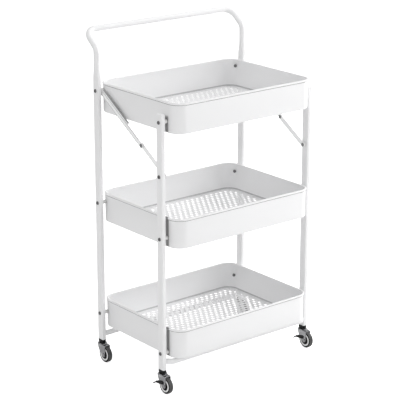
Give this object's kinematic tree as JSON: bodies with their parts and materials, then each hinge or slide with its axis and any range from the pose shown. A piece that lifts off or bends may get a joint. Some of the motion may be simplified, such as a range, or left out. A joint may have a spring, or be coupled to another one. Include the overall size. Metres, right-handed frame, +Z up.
{
  "type": "trolley cart",
  "caption": "Foldable tiered spa trolley: open trays on an upright tube frame with a push handle, folding stays and swivel castors.",
  "frame": {"origin": "middle of the footprint, on the floor", "axes": "+Z up, X along the long side of the trays, push handle towards +Y"},
  "size_m": [0.4522, 0.3229, 0.796],
  "materials": {
    "white_powder_coat": "satin powder coat",
    "white_mesh": "satin powder coat on perforated sheet",
    "black_screw": "blackened steel",
    "dark_rivet": "blackened steel",
    "black_plastic": "moulded",
    "chrome": "bright plate",
    "black_rubber": "moulded tyre"
  },
  "bodies": {
    "rear_frame": {"rear_frame_tube": "white_powder_coat", "rear_crossbar": "white_powder_coat", "top_rear_bolt_left": "black_screw", "top_rear_bolt_right": "black_screw", "middle_rear_bolt_left": "black_screw", "middle_rear_bolt_right": "black_screw", "bottom_rear_bolt_left": "black_screw", "bottom_rear_bolt_right": "black_screw", "castor_plug_rear_left": "black_plastic", "castor_plug_rear_right": "black_plastic", "castor_stem_rear_left": "chrome", "castor_stem_rear_right": "chrome"},
    "top_tray": {"top_tray_shell": "white_powder_coat", "top_tray_floor": "white_mesh"},
    "middle_tray": {"middle_tray_shell": "white_powder_coat", "middle_tray_floor": "white_mesh"},
    "bottom_tray": {"bottom_tray_shell": "white_powder_coat", "bottom_tray_floor": "white_mesh"},
    "front_frame": {"front_post_left": "white_powder_coat", "front_post_right": "white_powder_coat", "front_crossbar": "white_powder_coat", "top_front_bolt_left": "black_screw", "top_front_bolt_right": "black_screw", "middle_front_bolt_left": "black_screw", "middle_front_bolt_right": "black_screw", "bottom_front_bolt_left": "black_screw", "bottom_front_bolt_right": "black_screw", "stay_foot_screw_left": "black_screw", "stay_foot_screw_right": "black_screw", "castor_plug_front_left": "black_plastic", "castor_plug_front_right": "black_plastic", "castor_stem_front_left": "chrome", "castor_stem_front_right": "chrome"},
    "upper_stay_left": {"stay_upper_left": "white_powder_coat", "stay_elbow_rivet_left": "dark_rivet"},
    "lower_stay_left": {"stay_lower_left": "white_powder_coat", "stay_foot_rivet_left": "dark_rivet"},
    "upper_stay_right": {"stay_upper_right": "white_powder_coat", "stay_elbow_rivet_right": "dark_rivet"},
    "lower_stay_right": {"stay_lower_right": "white_powder_coat", "stay_foot_rivet_right": "dark_rivet"},
    "swivel_front_left": {"castor_fork_front_left": "chrome", "castor_axle_front_left": "chrome"},
    "wheel_front_left": {"castor_hub_front_left": "black_plastic", "castor_tyre_front_left": "black_rubber"},
    "brake_front_left": {"brake_lever_front_left": "black_plastic"},
    "swivel_front_right": {"castor_fork_front_right": "chrome", "castor_axle_front_right": "chrome"},
    "wheel_front_right": {"castor_hub_front_right": "black_plastic", "castor_tyre_front_right": "black_rubber"},
    "brake_front_right": {"brake_lever_front_right": "black_plastic"},
    "swivel_rear_left": {"castor_fork_rear_left": "chrome", "castor_axle_rear_left": "chrome"},
    "wheel_rear_left": {"castor_hub_rear_left": "black_plastic", "castor_tyre_rear_left": "black_rubber"},
    "swivel_rear_right": {"castor_fork_rear_right": "chrome", "castor_axle_rear_right": "chrome"},
    "wheel_rear_right": {"castor_hub_rear_right": "black_plastic", "castor_tyre_rear_right": "black_rubber"}
  },
  "joints": [
    {"name": "fold", "type": "hinge", "parent": "rear_frame", "child": "top_tray", "pos_m": [0, 0.1105, 0.657], "axis": [-1, 0, 0], "range_deg": [0, 70]},
    {"name": "middle_tray_hinge", "type": "hinge", "parent": "rear_frame", "child": "middle_tray", "pos_m": [0, 0.1105, 0.392], "axis": [-1, 0, 0], "range_deg": [0, 70]},
    {"name": "bottom_tray_hinge", "type": "hinge", "parent": "rear_frame", "child": "bottom_tray", "pos_m": [0, 0.1105, 0.12], "axis": [-1, 0, 0], "range_deg": [0, 70]},
    {"name": "front_frame_hinge", "type": "hinge", "parent": "top_tray", "child": "front_frame", "pos_m": [0, -0.1225, 0.63], "axis": [-1, 0, 0], "range_deg": [-70, 0]},
    {"name": "upper_stay_hinge_left", "type": "hinge", "parent": "rear_frame", "child": "upper_stay_left", "pos_m": [-0.2069, 0.1105, 0.657], "axis": [-1, 0, 0], "range_deg": [0, 103.6]},
    {"name": "lower_stay_hinge_left", "type": "hinge", "parent": "front_frame", "child": "lower_stay_left", "pos_m": [-0.2041, -0.1225, 0.508], "axis": [-1, 0, 0], "range_deg": [-28.55, 0]},
    {"name": "upper_stay_hinge_right", "type": "hinge", "parent": "rear_frame", "child": "upper_stay_right", "pos_m": [0.2069, 0.1105, 0.657], "axis": [-1, 0, 0], "range_deg": [0, 103.6]},
    {"name": "lower_stay_hinge_right", "type": "hinge", "parent": "front_frame", "child": "lower_stay_right", "pos_m": [0.2041, -0.1225, 0.508], "axis": [-1, 0, 0], "range_deg": [-28.55, 0]},
    {"name": "swivel_front_left_turn", "type": "hinge", "parent": "front_frame", "child": "swivel_front_left", "pos_m": [-0.2146, -0.1225, 0.0433], "axis": [0, 0, 1], "continuous": true},
    {"name": "wheel_front_left_spin", "type": "hinge", "parent": "swivel_front_left", "child": "wheel_front_left", "pos_m": [-0.2146, -0.1365, 0.02], "axis": [1, 0, 0], "continuous": true},
    {"name": "brake_front_left_press", "type": "hinge", "parent": "swivel_front_left", "child": "brake_front_left", "pos_m": [-0.2146, -0.1325, 0.027], "axis": [-1, 0, 0], "range_deg": [0, 14]},
    {"name": "swivel_front_right_turn", "type": "hinge", "parent": "front_frame", "child": "swivel_front_right", "pos_m": [0.2146, -0.1225, 0.0433], "axis": [0, 0, 1], "continuous": true},
    {"name": "wheel_front_right_spin", "type": "hinge", "parent": "swivel_front_right", "child": "wheel_front_right", "pos_m": [0.2146, -0.1365, 0.02], "axis": [1, 0, 0], "continuous": true},
    {"name": "brake_front_right_press", "type": "hinge", "parent": "swivel_front_right", "child": "brake_front_right", "pos_m": [0.2146, -0.1325, 0.027], "axis": [-1, 0, 0], "range_deg": [0, 14]},
    {"name": "swivel_rear_left_turn", "type": "hinge", "parent": "rear_frame", "child": "swivel_rear_left", "pos_m": [-0.2146, 0.1105, 0.0433], "axis": [0, 0, 1], "continuous": true},
    {"name": "wheel_rear_left_spin", "type": "hinge", "parent": "swivel_rear_left", "child": "wheel_rear_left", "pos_m": [-0.2146, 0.0965, 0.02], "axis": [1, 0, 0], "continuous": true},
    {"name": "swivel_rear_right_turn", "type": "hinge", "parent": "rear_frame", "child": "swivel_rear_right", "pos_m": [0.2146, 0.1105, 0.0433], "axis": [0, 0, 1], "continuous": true},
    {"name": "wheel_rear_right_spin", "type": "hinge", "parent": "swivel_rear_right", "child": "wheel_rear_right", "pos_m": [0.2146, 0.0965, 0.02], "axis": [1, 0, 0], "continuous": true}
  ],
  "couplings": [
    {"joint": "middle_tray_hinge", "follows": "fold", "ratio": 1},
    {"joint": "bottom_tray_hinge", "follows": "fold", "ratio": 1},
    {"joint": "front_frame_hinge", "follows": "fold", "ratio": -1},
    {"joint": "upper_stay_hinge_left", "follows": "fold", "ratio": 1.4799},
    {"joint": "lower_stay_hinge_left", "follows": "fold", "ratio": -0.40766},
    {"joint": "upper_stay_hinge_right", "follows": "fold", "ratio": 1.4799},
    {"joint": "lower_stay_hinge_right", "follows": "fold", "ratio": -0.40766}
  ]
}
